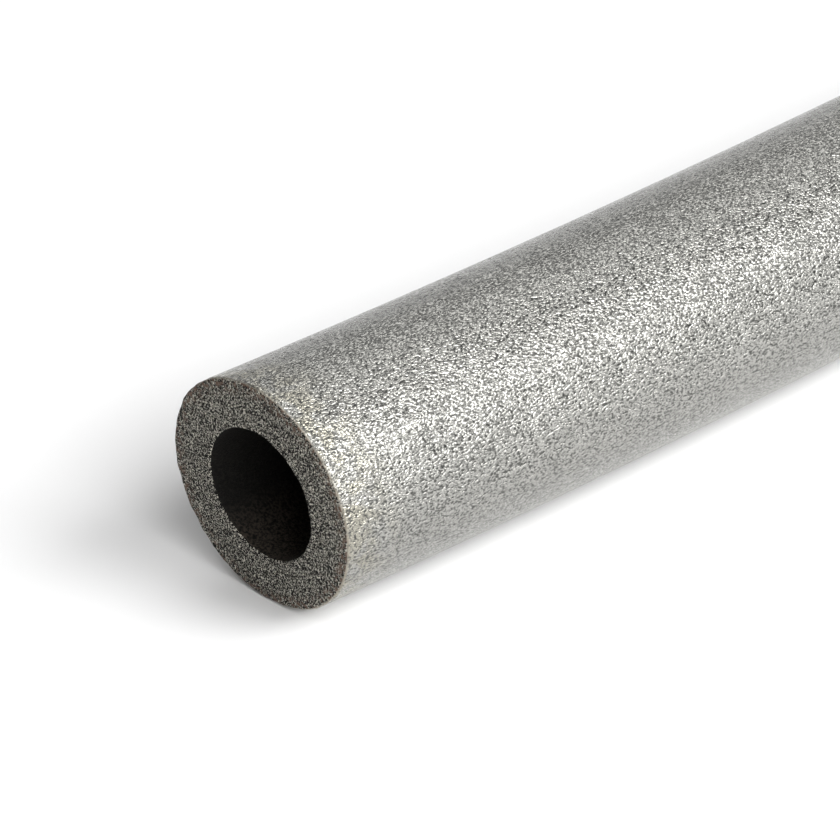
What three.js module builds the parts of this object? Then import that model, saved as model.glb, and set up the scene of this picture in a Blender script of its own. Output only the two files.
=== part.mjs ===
import * as THREE from 'three';
import { mergeVertices } from 'three/addons/utils/BufferGeometryUtils.js';

// Pipe insulation lagging: one length of foam tube that is pushed over a heating or water pipe.
// Millimetres, +Z up. The tube lies along X on z = 0. Its -X end is the cut end that faces the viewer.

// Sizes
const boreDiameter = 35;
const wallThickness = 13;
const pieceLength = 1000;

// The tube lies in a shallow side-to-side wave, flat on the ground
const waveSwing = 5.6;
const waveLength = 800;

// The cut edges are slightly rounded, and the near cut is not quite square:
// its top and its far side stand forward of a square cut by these angles
const rimRounding = 0.8;
const nearCutTopDegrees = 4.1;
const nearCutSideDegrees = 3;

// Facets round the tube, and steps along it and round a rim
const sidesRound = 48;
const stepsAlong = 24;
const stepsRim = 4;

const boreRadius = boreDiameter / 2;
const outerRadius = boreRadius + wallThickness;
const halfLength = pieceLength / 2;
const nearStraight = -halfLength + rimRounding;
const farStraight = halfLength - rimRounding;

// The wall in section as one closed loop: x is the radius and y the place along the tube.
// It runs up the outside, round the far rim, in over the far face, down the bore and back out over the near face.
const section = [];
for (let i = 0; i <= stepsAlong; i += 1) {
  const along = THREE.MathUtils.lerp(nearStraight, farStraight, i / stepsAlong);
  section.push(new THREE.Vector2(outerRadius, along));
}
for (let i = 1; i <= stepsRim; i += 1) {
  const turn = (Math.PI / 2) * (i / stepsRim);
  const radius = outerRadius - rimRounding * (1 - Math.cos(turn));
  section.push(new THREE.Vector2(radius, farStraight + rimRounding * Math.sin(turn)));
}
for (let i = 0; i <= stepsAlong; i += 1) {
  const along = THREE.MathUtils.lerp(halfLength, -halfLength, i / stepsAlong);
  section.push(new THREE.Vector2(boreRadius, along));
}
for (let i = stepsRim; i >= 1; i -= 1) {
  const turn = (Math.PI / 2) * (i / stepsRim);
  const radius = outerRadius - rimRounding * (1 - Math.cos(turn));
  section.push(new THREE.Vector2(radius, nearStraight - rimRounding * Math.sin(turn)));
}
section.push(section[0].clone());

// Turned by half a facet, so that the tube rests on a flat
const facet = (2 * Math.PI) / sidesRound;
const tube = new THREE.LatheGeometry(section, sidesRound, facet / 2);
tube.deleteAttribute('uv');
tube.deleteAttribute('normal');

// Each point goes from the straight tube to its place on the wave.
// Points of the near cut also slide along the tube, so the cut leans and the skin stays round.
const slideUp = -Math.tan(THREE.MathUtils.degToRad(nearCutTopDegrees));
const slideAcross = -Math.tan(THREE.MathUtils.degToRad(nearCutSideDegrees));
const waveNumber = (2 * Math.PI) / waveLength;
const point = tube.attributes.position;
for (let i = 0; i < point.count; i += 1) {
  const along = point.getY(i);
  const across = point.getZ(i);
  const up = point.getX(i);
  const heading = Math.atan(-waveSwing * waveNumber * Math.sin(waveNumber * along));
  const atNearCut = along < nearStraight + rimRounding / 10;
  const slide = atNearCut ? slideUp * up + slideAcross * across : 0;
  const x = along + slide * Math.cos(heading) - across * Math.sin(heading);
  const y = waveSwing * Math.cos(waveNumber * along) + slide * Math.sin(heading) + across * Math.cos(heading);
  point.setXYZ(i, x, y, up);
}

const geometry = mergeVertices(tube, 0.0001);
geometry.computeBoundingBox();
const box = geometry.boundingBox;
geometry.translate(-(box.min.x + box.max.x) / 2, -(box.min.y + box.max.y) / 2, -box.min.z);
geometry.computeVertexNormals();

// Mid-grey closed-cell foam with a soft sheen on its skin
const foam = new THREE.MeshStandardMaterial({ color: 0x8f8e89, roughness: 0.55, metalness: 0 });
const laggingTube = new THREE.Mesh(geometry, foam);
laggingTube.name = 'lagging_tube';

const part = new THREE.Group();
part.add(laggingTube);

export default part;
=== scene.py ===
# A length of grey foam pipe lagging, lying on a white floor and seen from its cut end.
# Metres, +Z up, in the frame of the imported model. The tube runs along X and its near end is at -X.
import math

import bmesh
import bpy
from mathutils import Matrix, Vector


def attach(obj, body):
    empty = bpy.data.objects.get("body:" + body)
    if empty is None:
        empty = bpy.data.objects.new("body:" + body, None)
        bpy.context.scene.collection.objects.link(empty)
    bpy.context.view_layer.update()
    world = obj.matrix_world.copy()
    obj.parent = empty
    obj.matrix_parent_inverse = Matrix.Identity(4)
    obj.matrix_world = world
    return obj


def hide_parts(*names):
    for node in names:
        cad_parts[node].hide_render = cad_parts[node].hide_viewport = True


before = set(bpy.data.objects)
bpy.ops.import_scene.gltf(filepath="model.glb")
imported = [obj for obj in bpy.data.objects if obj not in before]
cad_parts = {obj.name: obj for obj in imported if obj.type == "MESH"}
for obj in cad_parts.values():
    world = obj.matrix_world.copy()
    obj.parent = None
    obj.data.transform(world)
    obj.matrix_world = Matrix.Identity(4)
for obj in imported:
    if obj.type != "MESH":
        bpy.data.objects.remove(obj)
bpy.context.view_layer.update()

# Sizes of the tube
BORE_RADIUS = 0.0175
OUTER_RADIUS = 0.0305
LENGTH = 1.0
RIM_ROUNDING = 0.0008  # outer edge of a cut
LIP_ROUNDING = 0.0005  # mouth of the bore
CUT_TOP = math.radians(4.1)  # how far the top of the near cut stands forward
CUT_SIDE = math.radians(3.0)  # how far its far side stands forward

# The shallow side-to-side wave in which the tube lies
WAVE_SWING = 0.0056
WAVE_LENGTH = 0.8
WAVE_SHIFT = (0.000633, -0.000021)  # puts the tube in the middle of its box
WAVE_STEPS = 260
AXIS_HEIGHT = OUTER_RADIUS

# How finely the tube is divided
SIDES = 384
RIM_STEPS = 6
LIP_STEPS = 3
CUTS = ((0.0, 24), (LENGTH, 14))  # each cut's place along the straight tube, and the rings in its face
# Each stretch's start and end, and its rings in the skin and in the bore
STRETCHES = ((0.0, 0.013, 22, 8), (0.013, 0.09, 30, 8), (0.09, LENGTH, 56, 36))

# The cuts are slightly ragged: size and height of the lumps, and the depths between which they fade
RAGGED_SIZE = 0.0035
RAGGED_HEIGHT = 0.0005
RAGGED_TO, EVEN_FROM = 0.001, 0.004
LEAST_WEIGHT = 0.001  # a push weaker than this share is left out

# The tube is made a little too long at both ends, and then cut
SPARE = 0.02

# What counts as near, when edges are picked by their place
END_REACH = 0.01  # along the tube, from a cut
LEAN_REACH = 0.006  # along the tube, from the end of a stretch
RING_RUN = 0.001  # a ring's edge runs no further than this along the tube
WALL_RUN = 0.008  # an edge through the wall crosses at least this much of it
LONG_SHARE = 0.4  # an edge along a stretch covers at least this share of it
SNUG = 0.0002  # from a radius, at an edge of a cut
CLOSE = 0.0005  # from a radius, along the skin or the bore


def deselect_all():
    if bpy.context.mode != "OBJECT":
        bpy.ops.object.mode_set(mode="OBJECT")
    bpy.ops.object.select_all(action="DESELECT")


def pick_edges(tube, test):
    """In edit mode, selects only the edges that pass the test."""
    bpy.ops.mesh.select_all(action="DESELECT")
    bpy.ops.mesh.select_mode(type="EDGE")
    bm = bmesh.from_edit_mesh(tube.data)
    for edge in bm.edges:
        if test(edge):
            edge.select_set(True)
    bm.select_flush_mode()
    bmesh.update_edit_mesh(tube.data)


def span_of(edge):
    """From where to where an edge runs along the tube, and between which radii."""
    a, b = edge.verts[0].co, edge.verts[1].co
    places = sorted((a.x, b.x))
    radii = sorted((math.hypot(a.y, a.z), math.hypot(b.y, b.z)))
    return *places, *radii


def goes_round_a_cut(edge, at_rim):
    """Whether an edge belongs to a cut's outer rim, or else to the mouth of the bore."""
    first, last, inner, outer = span_of(edge)
    at_an_end = last < END_REACH or first > LENGTH - END_REACH
    on_radius = inner > OUTER_RADIUS - SNUG if at_rim else outer < BORE_RADIUS + SNUG
    return at_an_end and on_radius and last - first < RING_RUN


def crosses_the_wall(edge, cut):
    """Whether an edge lies in the face of a cut and goes from the bore to the skin."""
    first, last, inner, outer = span_of(edge)
    return cut - END_REACH < first and last < cut + END_REACH and outer - inner > WALL_RUN


def runs_along(edge, low, high, in_skin):
    """Whether an edge runs from end to end of a stretch, in the skin or else in the bore."""
    first, last, inner, outer = span_of(edge)
    if last - first < LONG_SHARE * (high - low) or first < low - LEAN_REACH or last > high + LEAN_REACH:
        return False
    return inner > OUTER_RADIUS - CLOSE if in_skin else outer < BORE_RADIUS + CLOSE


def make_tube():
    """The lagging, still straight: two open tubes cut at both ends and joined by their end faces."""
    deselect_all()
    lying = dict(
        vertices=SIDES,
        depth=LENGTH + 2 * SPARE,
        end_fill_type="NOTHING",
        rotation=(0, math.pi / 2, 0),
        location=(LENGTH / 2, 0, 0),
    )
    bpy.ops.mesh.primitive_cylinder_add(radius=OUTER_RADIUS, **lying)
    tube = bpy.context.active_object
    tube.name = tube.data.name = "foam_tube"
    bpy.ops.object.transform_apply(location=True, rotation=True, scale=True)
    bpy.ops.object.mode_set(mode="EDIT")
    bpy.ops.mesh.select_all(action="DESELECT")
    bpy.ops.mesh.primitive_cylinder_add(radius=BORE_RADIUS, **lying)
    bpy.ops.mesh.flip_normals()

    # The near cut leans, the far one is square
    near_normal = Vector((-1, -math.tan(CUT_SIDE), -math.tan(CUT_TOP))).normalized()
    bpy.ops.mesh.select_all(action="SELECT")
    bpy.ops.mesh.bisect(plane_co=(0, 0, 0), plane_no=near_normal, clear_outer=True)
    bpy.ops.mesh.select_all(action="SELECT")
    bpy.ops.mesh.bisect(plane_co=(LENGTH, 0, 0), plane_no=(1, 0, 0), clear_outer=True)
    for cut, _ in CUTS:
        pick_edges(tube, lambda edge: edge.is_boundary and abs(edge.verts[0].co.x - cut) < END_REACH)
        bpy.ops.mesh.bridge_edge_loops()

    # Rounded rims and mouths
    for at_rim, rounding, steps in ((True, RIM_ROUNDING, RIM_STEPS), (False, LIP_ROUNDING, LIP_STEPS)):
        pick_edges(tube, lambda edge: goes_round_a_cut(edge, at_rim))
        bpy.ops.mesh.bevel(offset=rounding, segments=steps, profile=0.5, affect="EDGES")

    # Rings in the faces of the cuts
    for cut, rings in CUTS:
        pick_edges(tube, lambda edge: crosses_the_wall(edge, cut))
        bpy.ops.mesh.subdivide_edgering(number_cuts=rings, interpolation="LINEAR")

    # Rings in the skin and in the bore
    for start, *_ in STRETCHES[1:]:
        bpy.ops.mesh.select_all(action="SELECT")
        bpy.ops.mesh.bisect(plane_co=(start, 0, 0), plane_no=(1, 0, 0))
    for in_skin in (True, False):
        for low, high, skin_rings, bore_rings in STRETCHES:
            pick_edges(tube, lambda edge: runs_along(edge, low, high, in_skin))
            rings = skin_rings if in_skin else bore_rings
            bpy.ops.mesh.subdivide_edgering(number_cuts=rings, interpolation="LINEAR")
    bpy.ops.mesh.select_all(action="SELECT")
    bpy.ops.mesh.normals_make_consistent(inside=False)
    bpy.ops.object.mode_set(mode="OBJECT")
    return tube


def note_places(tube):
    """Keeps each point's distance from the axis and from the nearest cut with the mesh."""
    radius = tube.data.attributes.new("radius", "FLOAT", "POINT")
    depth = tube.data.attributes.new("depth", "FLOAT", "POINT")
    for i, vertex in enumerate(tube.data.vertices):
        x, y, z = vertex.co
        near_cut = -y * math.tan(CUT_SIDE) - z * math.tan(CUT_TOP)
        radius.data[i].value = math.hypot(y, z)
        depth.data[i].value = min(x - near_cut, LENGTH - x)


def fade(value, start, end):
    """1 below the start, 0 above the end, an even slope between."""
    return min(1.0, max(0.0, (end - value) / (end - start)))


def make_cuts_ragged(tube):
    """Pushes the surface at the cuts in and out by a cloudy pattern that fades with the depth behind them."""
    # The depths are read first, because adding to a vertex group can move them in memory
    weights = [fade(depth.value, RAGGED_TO, EVEN_FROM) for depth in tube.data.attributes["depth"].data]
    group = tube.vertex_groups.new(name="ragged cut")
    for i, weight in enumerate(weights):
        if weight > LEAST_WEIGHT:
            group.add([i], weight, "REPLACE")
    pattern = bpy.data.textures.new("ragged cut", "CLOUDS")
    pattern.noise_scale = RAGGED_SIZE
    pattern.noise_depth = 1
    push = tube.modifiers.new("ragged cut", "DISPLACE")
    push.texture = pattern
    push.texture_coords = "LOCAL"
    push.strength = RAGGED_HEIGHT
    push.mid_level = 0.5
    push.vertex_group = group.name
    deselect_all()
    tube.select_set(True)
    bpy.context.view_layer.objects.active = tube
    bpy.ops.object.modifier_apply(modifier=push.name)


def wave_point(x):
    """The point of the tube's axis at x along the wave, which is 0 in the middle of the tube."""
    across = WAVE_SWING * math.cos(2 * math.pi * x / WAVE_LENGTH)
    return Vector((x + WAVE_SHIFT[0], across + WAVE_SHIFT[1], AXIS_HEIGHT))


def lay_in_wave(tube):
    """Bends the straight tube along its shallow wave and puts it in its place on the floor."""
    path = bpy.data.curves.new("wave", "CURVE")
    path.dimensions = "3D"
    path.twist_mode = "Z_UP"
    spline = path.splines.new("POLY")
    spline.points.add(WAVE_STEPS)
    for i, point in enumerate(spline.points):
        x = -LENGTH / 2 - SPARE + (LENGTH + 2 * SPARE) * i / WAVE_STEPS
        point.co = (*wave_point(x), 1)
    rail = bpy.data.objects.new("wave", path)
    bpy.context.scene.collection.objects.link(rail)
    deselect_all()
    tube.select_set(True)
    bpy.context.view_layer.objects.active = tube
    bpy.ops.object.mode_set(mode="EDIT")
    bpy.ops.mesh.select_all(action="SELECT")
    bpy.ops.transform.translate(value=(SPARE, 0, 0))
    bpy.ops.object.mode_set(mode="OBJECT")
    bend = tube.modifiers.new("lie in a wave", "CURVE")
    bend.object = rail
    bend.deform_axis = "POS_X"
    bpy.ops.object.modifier_apply(modifier=bend.name)
    bpy.data.objects.remove(rail)


# Building blocks of the materials
def add_node(tree, kind, label=None, **settings):
    """Adds a shader node. Settings are its own properties."""
    node = tree.nodes.new(kind)
    if label:
        node.label = label
    for key, value in settings.items():
        setattr(node, key, value)
    return node


def feed(tree, target, source):
    """Puts a number, a colour or another node's output into a socket."""
    if isinstance(source, bpy.types.NodeSocket):
        tree.links.new(source, target)
    else:
        target.default_value = source


def calc(tree, operation, *values):
    node = add_node(tree, "ShaderNodeMath", operation=operation)
    for i, value in enumerate(values):
        feed(tree, node.inputs[i], value)
    return node.outputs[0]


def ramp(tree, value, low, high, at_low=0.0, at_high=1.0):
    """A soft step from one amount to another between two values."""
    node = add_node(tree, "ShaderNodeMapRange", interpolation_type="SMOOTHSTEP")
    settings = {"Value": value, "From Min": low, "From Max": high, "To Min": at_low, "To Max": at_high}
    for name, setting in settings.items():
        feed(tree, node.inputs[name], setting)
    return node.outputs["Result"]


def noise(tree, vector, per_metre, detail=2.0, roughness=0.5, output="Fac"):
    node = add_node(tree, "ShaderNodeTexNoise")
    feed(tree, node.inputs["Vector"], vector)
    feed(tree, node.inputs["Scale"], per_metre)
    node.inputs["Detail"].default_value = detail
    node.inputs["Roughness"].default_value = roughness
    return node.outputs[output]


def off_middle(tree, value):
    """How far a noise is from its middle: 0 along thin winding lines."""
    return calc(tree, "ABSOLUTE", calc(tree, "SUBTRACT", value, 0.5))


def patches(tree, vector, per_metre, low, high, least=0.0, most=1.0):
    """Cloudy patches. Low and high say how much of the surface they cover and how soft they are."""
    return ramp(tree, noise(tree, vector, per_metre), low, high, least, most)


def kept(tree, name):
    """A value kept with the mesh at each point."""
    return add_node(tree, "ShaderNodeAttribute", attribute_name=name).outputs["Fac"]


def near_a_cut(tree, full_to, gone_at):
    """1 at a cut, fading with the depth behind it."""
    return ramp(tree, kept(tree, "depth"), full_to, gone_at, 1.0, 0.0)


def pushed(tree, vector, by, per_metre):
    """The vector, pushed about by a noise so that a pattern built on it turns and curls."""
    swirl = add_node(tree, "ShaderNodeVectorMath", operation="SUBTRACT")
    feed(tree, swirl.inputs[0], noise(tree, vector, per_metre, detail=1.0, output="Color"))
    swirl.inputs[1].default_value = (0.5, 0.5, 0.5)
    push = add_node(tree, "ShaderNodeVectorMath", operation="MULTIPLY_ADD")
    feed(tree, push.inputs[0], swirl.outputs[0])
    push.inputs[1].default_value = (by, by, by)
    feed(tree, push.inputs[2], vector)
    return push.outputs[0]


def bump(tree, height, distance, below=None):
    node = add_node(tree, "ShaderNodeBump")
    feed(tree, node.inputs["Height"], height)
    node.inputs["Distance"].default_value = distance
    node.inputs["Strength"].default_value = 1.0
    if below is not None:
        feed(tree, node.inputs["Normal"], below)
    return node.outputs["Normal"]


def blend_colour(tree, factor, first, second):
    """The first colour where the factor is 0, the second where it is 1."""
    node = add_node(tree, "ShaderNodeMix", data_type="RGBA")
    # The node has sockets for other kinds of value too, and these are the ones for colours
    feed(tree, node.inputs[0], factor)
    feed(tree, node.inputs[6], first)
    feed(tree, node.inputs[7], second)
    return node.outputs[2]


def material(name):
    made = bpy.data.materials.new(name)
    made.use_nodes = True
    tree = made.node_tree
    place = add_node(tree, "ShaderNodeTexCoord").outputs["Object"]
    return made, tree, tree.nodes["Principled BSDF"], place


# Skin
SKIN = (0.35, 0.347, 0.326, 1)
SKIN_BY_CUT = (0.355, 0.341, 0.288, 1)  # slightly yellowed
# Painted shade: the colour given to the bottoms of dimples and creases
SKIN_CREASE_SHADE = (0.085, 0.085, 0.079, 1)
BARE_LIP = (0.27, 0.24, 0.19, 1)  # matt foam along the edge of a cut
WRINKLE_STRETCH = 0.6  # less than 1 makes the pattern longer along the tube
CREASES_PER_METRE = 1300
CREASE_WIDTH = 0.07  # as a share of the noise
DIMPLES_PER_METRE = 2000
SWELLS_PER_METRE = 110
CREASE_DEPTH = 0.35  # as a share of a dimple's
CREASE_SHADE_SHARE = 0.4  # painted shade: share of the skin's colour that is left in a crease
DIMPLE_DEPTH = 0.00016
SWELL_DEPTH = 0.0012
SKIN_SHEEN = 0.2, 0.9  # roughness and metallic
LIP_SHEEN = 0.7, 0.0


def skin_material():
    """Extruded skin: flattened foam bubbles and fine wrinkles that run along the tube, silvery grey."""
    made, tree, shader, place = material("foam skin")
    stretched = add_node(tree, "ShaderNodeMapping", "wrinkles run along the tube")
    feed(tree, stretched.inputs["Vector"], place)
    stretched.inputs["Scale"].default_value = (WRINKLE_STRETCH, 1, 1)
    along = stretched.outputs["Vector"]
    curled = pushed(tree, along, by=0.0005, per_metre=1200)

    # Relief: dimples with thin creases between them, on slow swells
    lines = off_middle(tree, noise(tree, curled, CREASES_PER_METRE, detail=0.0))
    creases = ramp(tree, lines, 0.0, CREASE_WIDTH)
    dimples = ramp(tree, noise(tree, curled, DIMPLES_PER_METRE, detail=0.5), 0.28, 0.72)
    height = calc(tree, "MULTIPLY_ADD", creases, CREASE_DEPTH, dimples)
    swells = bump(tree, noise(tree, along, SWELLS_PER_METRE, detail=3.0, roughness=0.6), SWELL_DEPTH)
    feed(tree, shader.inputs["Normal"], bump(tree, height, DIMPLE_DEPTH, below=swells))

    # Colour: yellowed in places near a cut, and painted shade in dimples and creases
    blotches = patches(tree, place, per_metre=180, low=0.35, high=0.6)
    yellowed = calc(tree, "MULTIPLY", near_a_cut(tree, full_to=0.003, gone_at=0.02), blotches)
    out_of_crease_shade = calc(tree, "MULTIPLY_ADD", creases, 1 - CREASE_SHADE_SHARE, CREASE_SHADE_SHARE)
    unshaded = calc(tree, "MULTIPLY", ramp(tree, dimples, 0.0, 0.5), out_of_crease_shade)
    colour = blend_colour(tree, unshaded, SKIN_CREASE_SHADE, blend_colour(tree, yellowed, SKIN, SKIN_BY_CUT))

    # A thin line along the edge of a cut is bare and matt
    worn = patches(tree, place, per_metre=500, low=0.35, high=0.6, least=0.35, most=0.9)
    lip = calc(tree, "MULTIPLY", near_a_cut(tree, full_to=0.0002, gone_at=0.0008), worn)
    feed(tree, shader.inputs["Base Color"], blend_colour(tree, lip, colour, BARE_LIP))
    for socket, on_skin, on_lip in zip(("Roughness", "Metallic"), SKIN_SHEEN, LIP_SHEEN):
        feed(tree, shader.inputs[socket], calc(tree, "MULTIPLY_ADD", lip, on_lip - on_skin, on_skin))
    return made


# Cut foam and bore wall
# Painted shade: the near-black colour of the open pits in a cut
CELL_PIT_SHADE = (0.0015, 0.0013, 0.0011, 1)
CELL_WALL = (0.7, 0.67, 0.58, 1)
# Painted shade: the foam inside the bore is the same as in the cut, made nearly black to stand for the dark
# inside it
BORE_PIT_SHADE = (0.003, 0.0027, 0.0023, 1)
BORE_WALL_SHADE = (0.01, 0.009, 0.0073, 1)
BROWN = (0.15, 0.1, 0.075, 1)  # scorched foam at the outer edge of a cut
BROWN_WIDTH = 0.005
# Brownish dust along the bottom of the bore, together with painted light that makes the lower wall lighter
DUST_AND_PAINTED_LIGHT = (0.055, 0.045, 0.035, 1)
DUST_AND_LIGHT_BOTTOM, DUST_AND_LIGHT_TOP = 0.0125, 0.022  # heights above the floor between which the dust and painted light fade
FOAM_ROUGHNESS = 0.8
FOAM_SPECULAR = 0.2


def open_cells_group():
    """Cut foam: small torn bubbles. Gives their height and how much of a light cell wall a point is."""
    group = bpy.data.node_groups.new("open cells", "ShaderNodeTree")
    group.interface.new_socket(name="Vector", in_out="INPUT", socket_type="NodeSocketVector")
    for name in ("Cells per Metre", "Wall From", "Wall To"):
        group.interface.new_socket(name=name, in_out="INPUT", socket_type="NodeSocketFloat")
    for name in ("Height", "Wall"):
        group.interface.new_socket(name=name, in_out="OUTPUT", socket_type="NodeSocketFloat")
    start = add_node(group, "NodeGroupInput")
    end = add_node(group, "NodeGroupOutput")
    rate = start.outputs["Cells per Metre"]
    curled = pushed(group, start.outputs["Vector"], by=0.0004, per_metre=1300)
    lumps = noise(group, curled, rate, detail=2.0, roughness=0.75)
    finer = calc(group, "MULTIPLY", rate, 1.15)
    tears = off_middle(group, noise(group, curled, finer, detail=1.0, roughness=0.6))
    height = calc(group, "SUBTRACT", lumps, tears)
    feed(group, end.inputs["Height"], height)
    feed(group, end.inputs["Wall"], ramp(group, height, start.outputs["Wall From"], start.outputs["Wall To"]))
    return group


def foam_material(name, open_cells, per_metre, wall_from, wall_to, relief, pit_shade, wall):
    """Foam with open cells, whose pits are painted dark as their shade. Gives the material, what it is built
    with and the colour of the cells.
    """
    made, tree, shader, place = material(name)
    foam = add_node(tree, "ShaderNodeGroup", node_tree=open_cells)
    feed(tree, foam.inputs["Vector"], place)
    foam.inputs["Cells per Metre"].default_value = per_metre
    foam.inputs["Wall From"].default_value = wall_from
    foam.inputs["Wall To"].default_value = wall_to
    feed(tree, shader.inputs["Normal"], bump(tree, foam.outputs["Height"], relief))
    shader.inputs["Roughness"].default_value = FOAM_ROUGHNESS
    shader.inputs["Specular IOR Level"].default_value = FOAM_SPECULAR
    return made, tree, shader, place, blend_colour(tree, foam.outputs["Wall"], pit_shade, wall)


def cut_material(open_cells):
    """The face of a cut: light cell walls round pits painted near black as their shade, with brown specks
    towards the rim.
    """
    made, tree, shader, place, cells = foam_material(
        "cut foam",
        open_cells,
        per_metre=2300,
        wall_from=0.46,
        wall_to=0.53,
        relief=0.0006,
        pit_shade=CELL_PIT_SHADE,
        wall=CELL_WALL,
    )
    rim = ramp(tree, kept(tree, "radius"), OUTER_RADIUS - BROWN_WIDTH, OUTER_RADIUS - RIM_ROUNDING)
    specks = calc(tree, "MULTIPLY", rim, patches(tree, place, per_metre=800, low=0.48, high=0.62, most=0.85))
    feed(tree, shader.inputs["Base Color"], blend_colour(tree, specks, cells, BROWN))
    return made


def bore_material(open_cells):
    """The wall of the bore: foam painted nearly black as the shade inside the bore, with brownish dust and
    painted light along the bottom.
    """
    made, tree, shader, place, cells = foam_material(
        "bore wall",
        open_cells,
        per_metre=1500,
        wall_from=0.36,
        wall_to=0.58,
        relief=0.0003,
        pit_shade=BORE_PIT_SHADE,
        wall=BORE_WALL_SHADE,
    )
    height = add_node(tree, "ShaderNodeSeparateXYZ")
    feed(tree, height.inputs[0], place)
    low_down = ramp(tree, height.outputs["Z"], DUST_AND_LIGHT_BOTTOM, DUST_AND_LIGHT_TOP, 1.0, 0.0)
    # Dust and painted light on the lower wall of the bore, in patches
    lying = calc(tree, "MULTIPLY", low_down, patches(tree, place, per_metre=1500, low=0.35, high=0.65))
    feed(tree, shader.inputs["Base Color"], blend_colour(tree, lying, cells, DUST_AND_PAINTED_LIGHT))
    return made


def finish_faces(tube):
    """Skin on the outside and its rims, cut foam on the ends, bore wall inside."""
    open_cells = open_cells_group()
    for made in (skin_material(), cut_material(open_cells), bore_material(open_cells)):
        tube.data.materials.append(made)
    skin, cut, bore = range(3)
    rim_turn, face_turn = 0.8, 0.5  # how far a rim's skin and a cut's face are turned towards an end
    for face in tube.data.polygons:
        radius = math.hypot(face.center.y, face.center.z)
        towards_end = abs(face.normal.x)
        if radius > OUTER_RADIUS - RIM_ROUNDING and towards_end < rim_turn:
            face.material_index = skin
        elif towards_end > face_turn:
            face.material_index = cut
        else:
            face.material_index = bore


# Studio
FLOOR_SIZE = 30
FLOOR_WHITE = (0.9, 0.9, 0.9, 1)
AIM = Vector((-0.4, 0, 0.03))  # a little behind the cut end
WORLD_LIGHT = 0.18
# Each light's name, direction from the aim point, distance, width, height and watts
LIGHTS = (
    ("key", (0.3, -0.67, 0.67), 1.5, 0.9, 0.9, 17),
    ("side key", (0.75, -0.49, 0.44), 1.5, 0.6, 0.5, 5),
    ("low key", (0.3, -0.83, 0.48), 1.5, 0.8, 0.5, 5.5),
    ("high front", (-0.1, -0.7, 1.0), 1.5, 1.2, 0.9, 9),
    ("front", (-0.3, -0.85, 0.45), 1.5, 1.0, 0.6, 11.5),
    ("back", (0.7, 0.6, 0.7), 1.6, 1.4, 1.2, 8.5),
)


def lay_floor():
    """A plain matt white floor."""
    deselect_all()
    bpy.ops.mesh.primitive_plane_add(size=FLOOR_SIZE, location=(0, 0, 0))
    floor = bpy.context.active_object
    floor.name = "floor"
    white = bpy.data.materials.new("white floor")
    white.use_nodes = True
    white.node_tree.nodes["Principled BSDF"].inputs["Base Color"].default_value = FLOOR_WHITE
    white.node_tree.nodes["Principled BSDF"].inputs["Roughness"].default_value = 1.0
    floor.data.materials.append(white)


def soft_box(name, direction, distance, width, height, watts):
    """A rectangular studio light that faces the aim point."""
    lamp = bpy.data.lights.new(name, "AREA")
    lamp.shape = "RECTANGLE"
    lamp.size, lamp.size_y, lamp.energy = width, height, watts
    holder = bpy.data.objects.new(name, lamp)
    bpy.context.scene.collection.objects.link(holder)
    towards = Vector(direction).normalized()
    holder.location = AIM + towards * distance
    holder.rotation_euler = towards.to_track_quat("Z", "Y").to_euler()


def light_world():
    world = bpy.data.worlds.new("studio")
    bpy.context.scene.world = world
    world.use_nodes = True
    world.node_tree.nodes["Background"].inputs["Color"].default_value = (1, 1, 1, 1)
    world.node_tree.nodes["Background"].inputs["Strength"].default_value = WORLD_LIGHT


# Camera
VIEW_AZIMUTH = math.radians(42.82)
VIEW_ELEVATION = math.radians(30.0)
PICTURE_PIXELS = 840
FOCAL_PIXELS = 5900.0
END_PIXEL = (259.9, 494.8)  # where the middle of the cut end is in the picture
DISTANCE = 1.412
SENSOR_WIDTH = 36


def place_camera():
    """Looks along the view direction, from where the middle of the cut end falls on its pixel."""
    level = math.cos(VIEW_ELEVATION)
    forward = Vector(
        (math.sin(VIEW_AZIMUTH) * level, math.cos(VIEW_AZIMUTH) * level, -math.sin(VIEW_ELEVATION))
    )
    right = forward.cross(Vector((0, 0, 1))).normalized()
    up = right.cross(forward)
    pixel = DISTANCE / FOCAL_PIXELS
    camera = bpy.data.objects.new("camera", bpy.data.cameras.new("camera"))
    bpy.context.scene.collection.objects.link(camera)
    camera.data.sensor_width = SENSOR_WIDTH
    camera.data.lens = FOCAL_PIXELS / PICTURE_PIXELS * SENSOR_WIDTH
    camera.data.clip_start = 0.01
    camera.data.clip_end = 100
    camera.location = (
        wave_point(-LENGTH / 2)
        - forward * DISTANCE
        - right * (END_PIXEL[0] - PICTURE_PIXELS / 2) * pixel
        + up * (END_PIXEL[1] - PICTURE_PIXELS / 2) * pixel
    )
    camera.rotation_euler = forward.to_track_quat("-Z", "Y").to_euler()
    bpy.context.scene.camera = camera


# The tube
tube = make_tube()
finish_faces(tube)
note_places(tube)
make_cuts_ragged(tube)
lay_in_wave(tube)
tube.data.polygons.foreach_set("use_smooth", [True] * len(tube.data.polygons))
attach(tube, "root")
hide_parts("lagging_tube")

# The studio
lay_floor()
for light in LIGHTS:
    soft_box(*light)
light_world()
place_camera()
bpy.context.scene.view_settings.view_transform = "Standard"
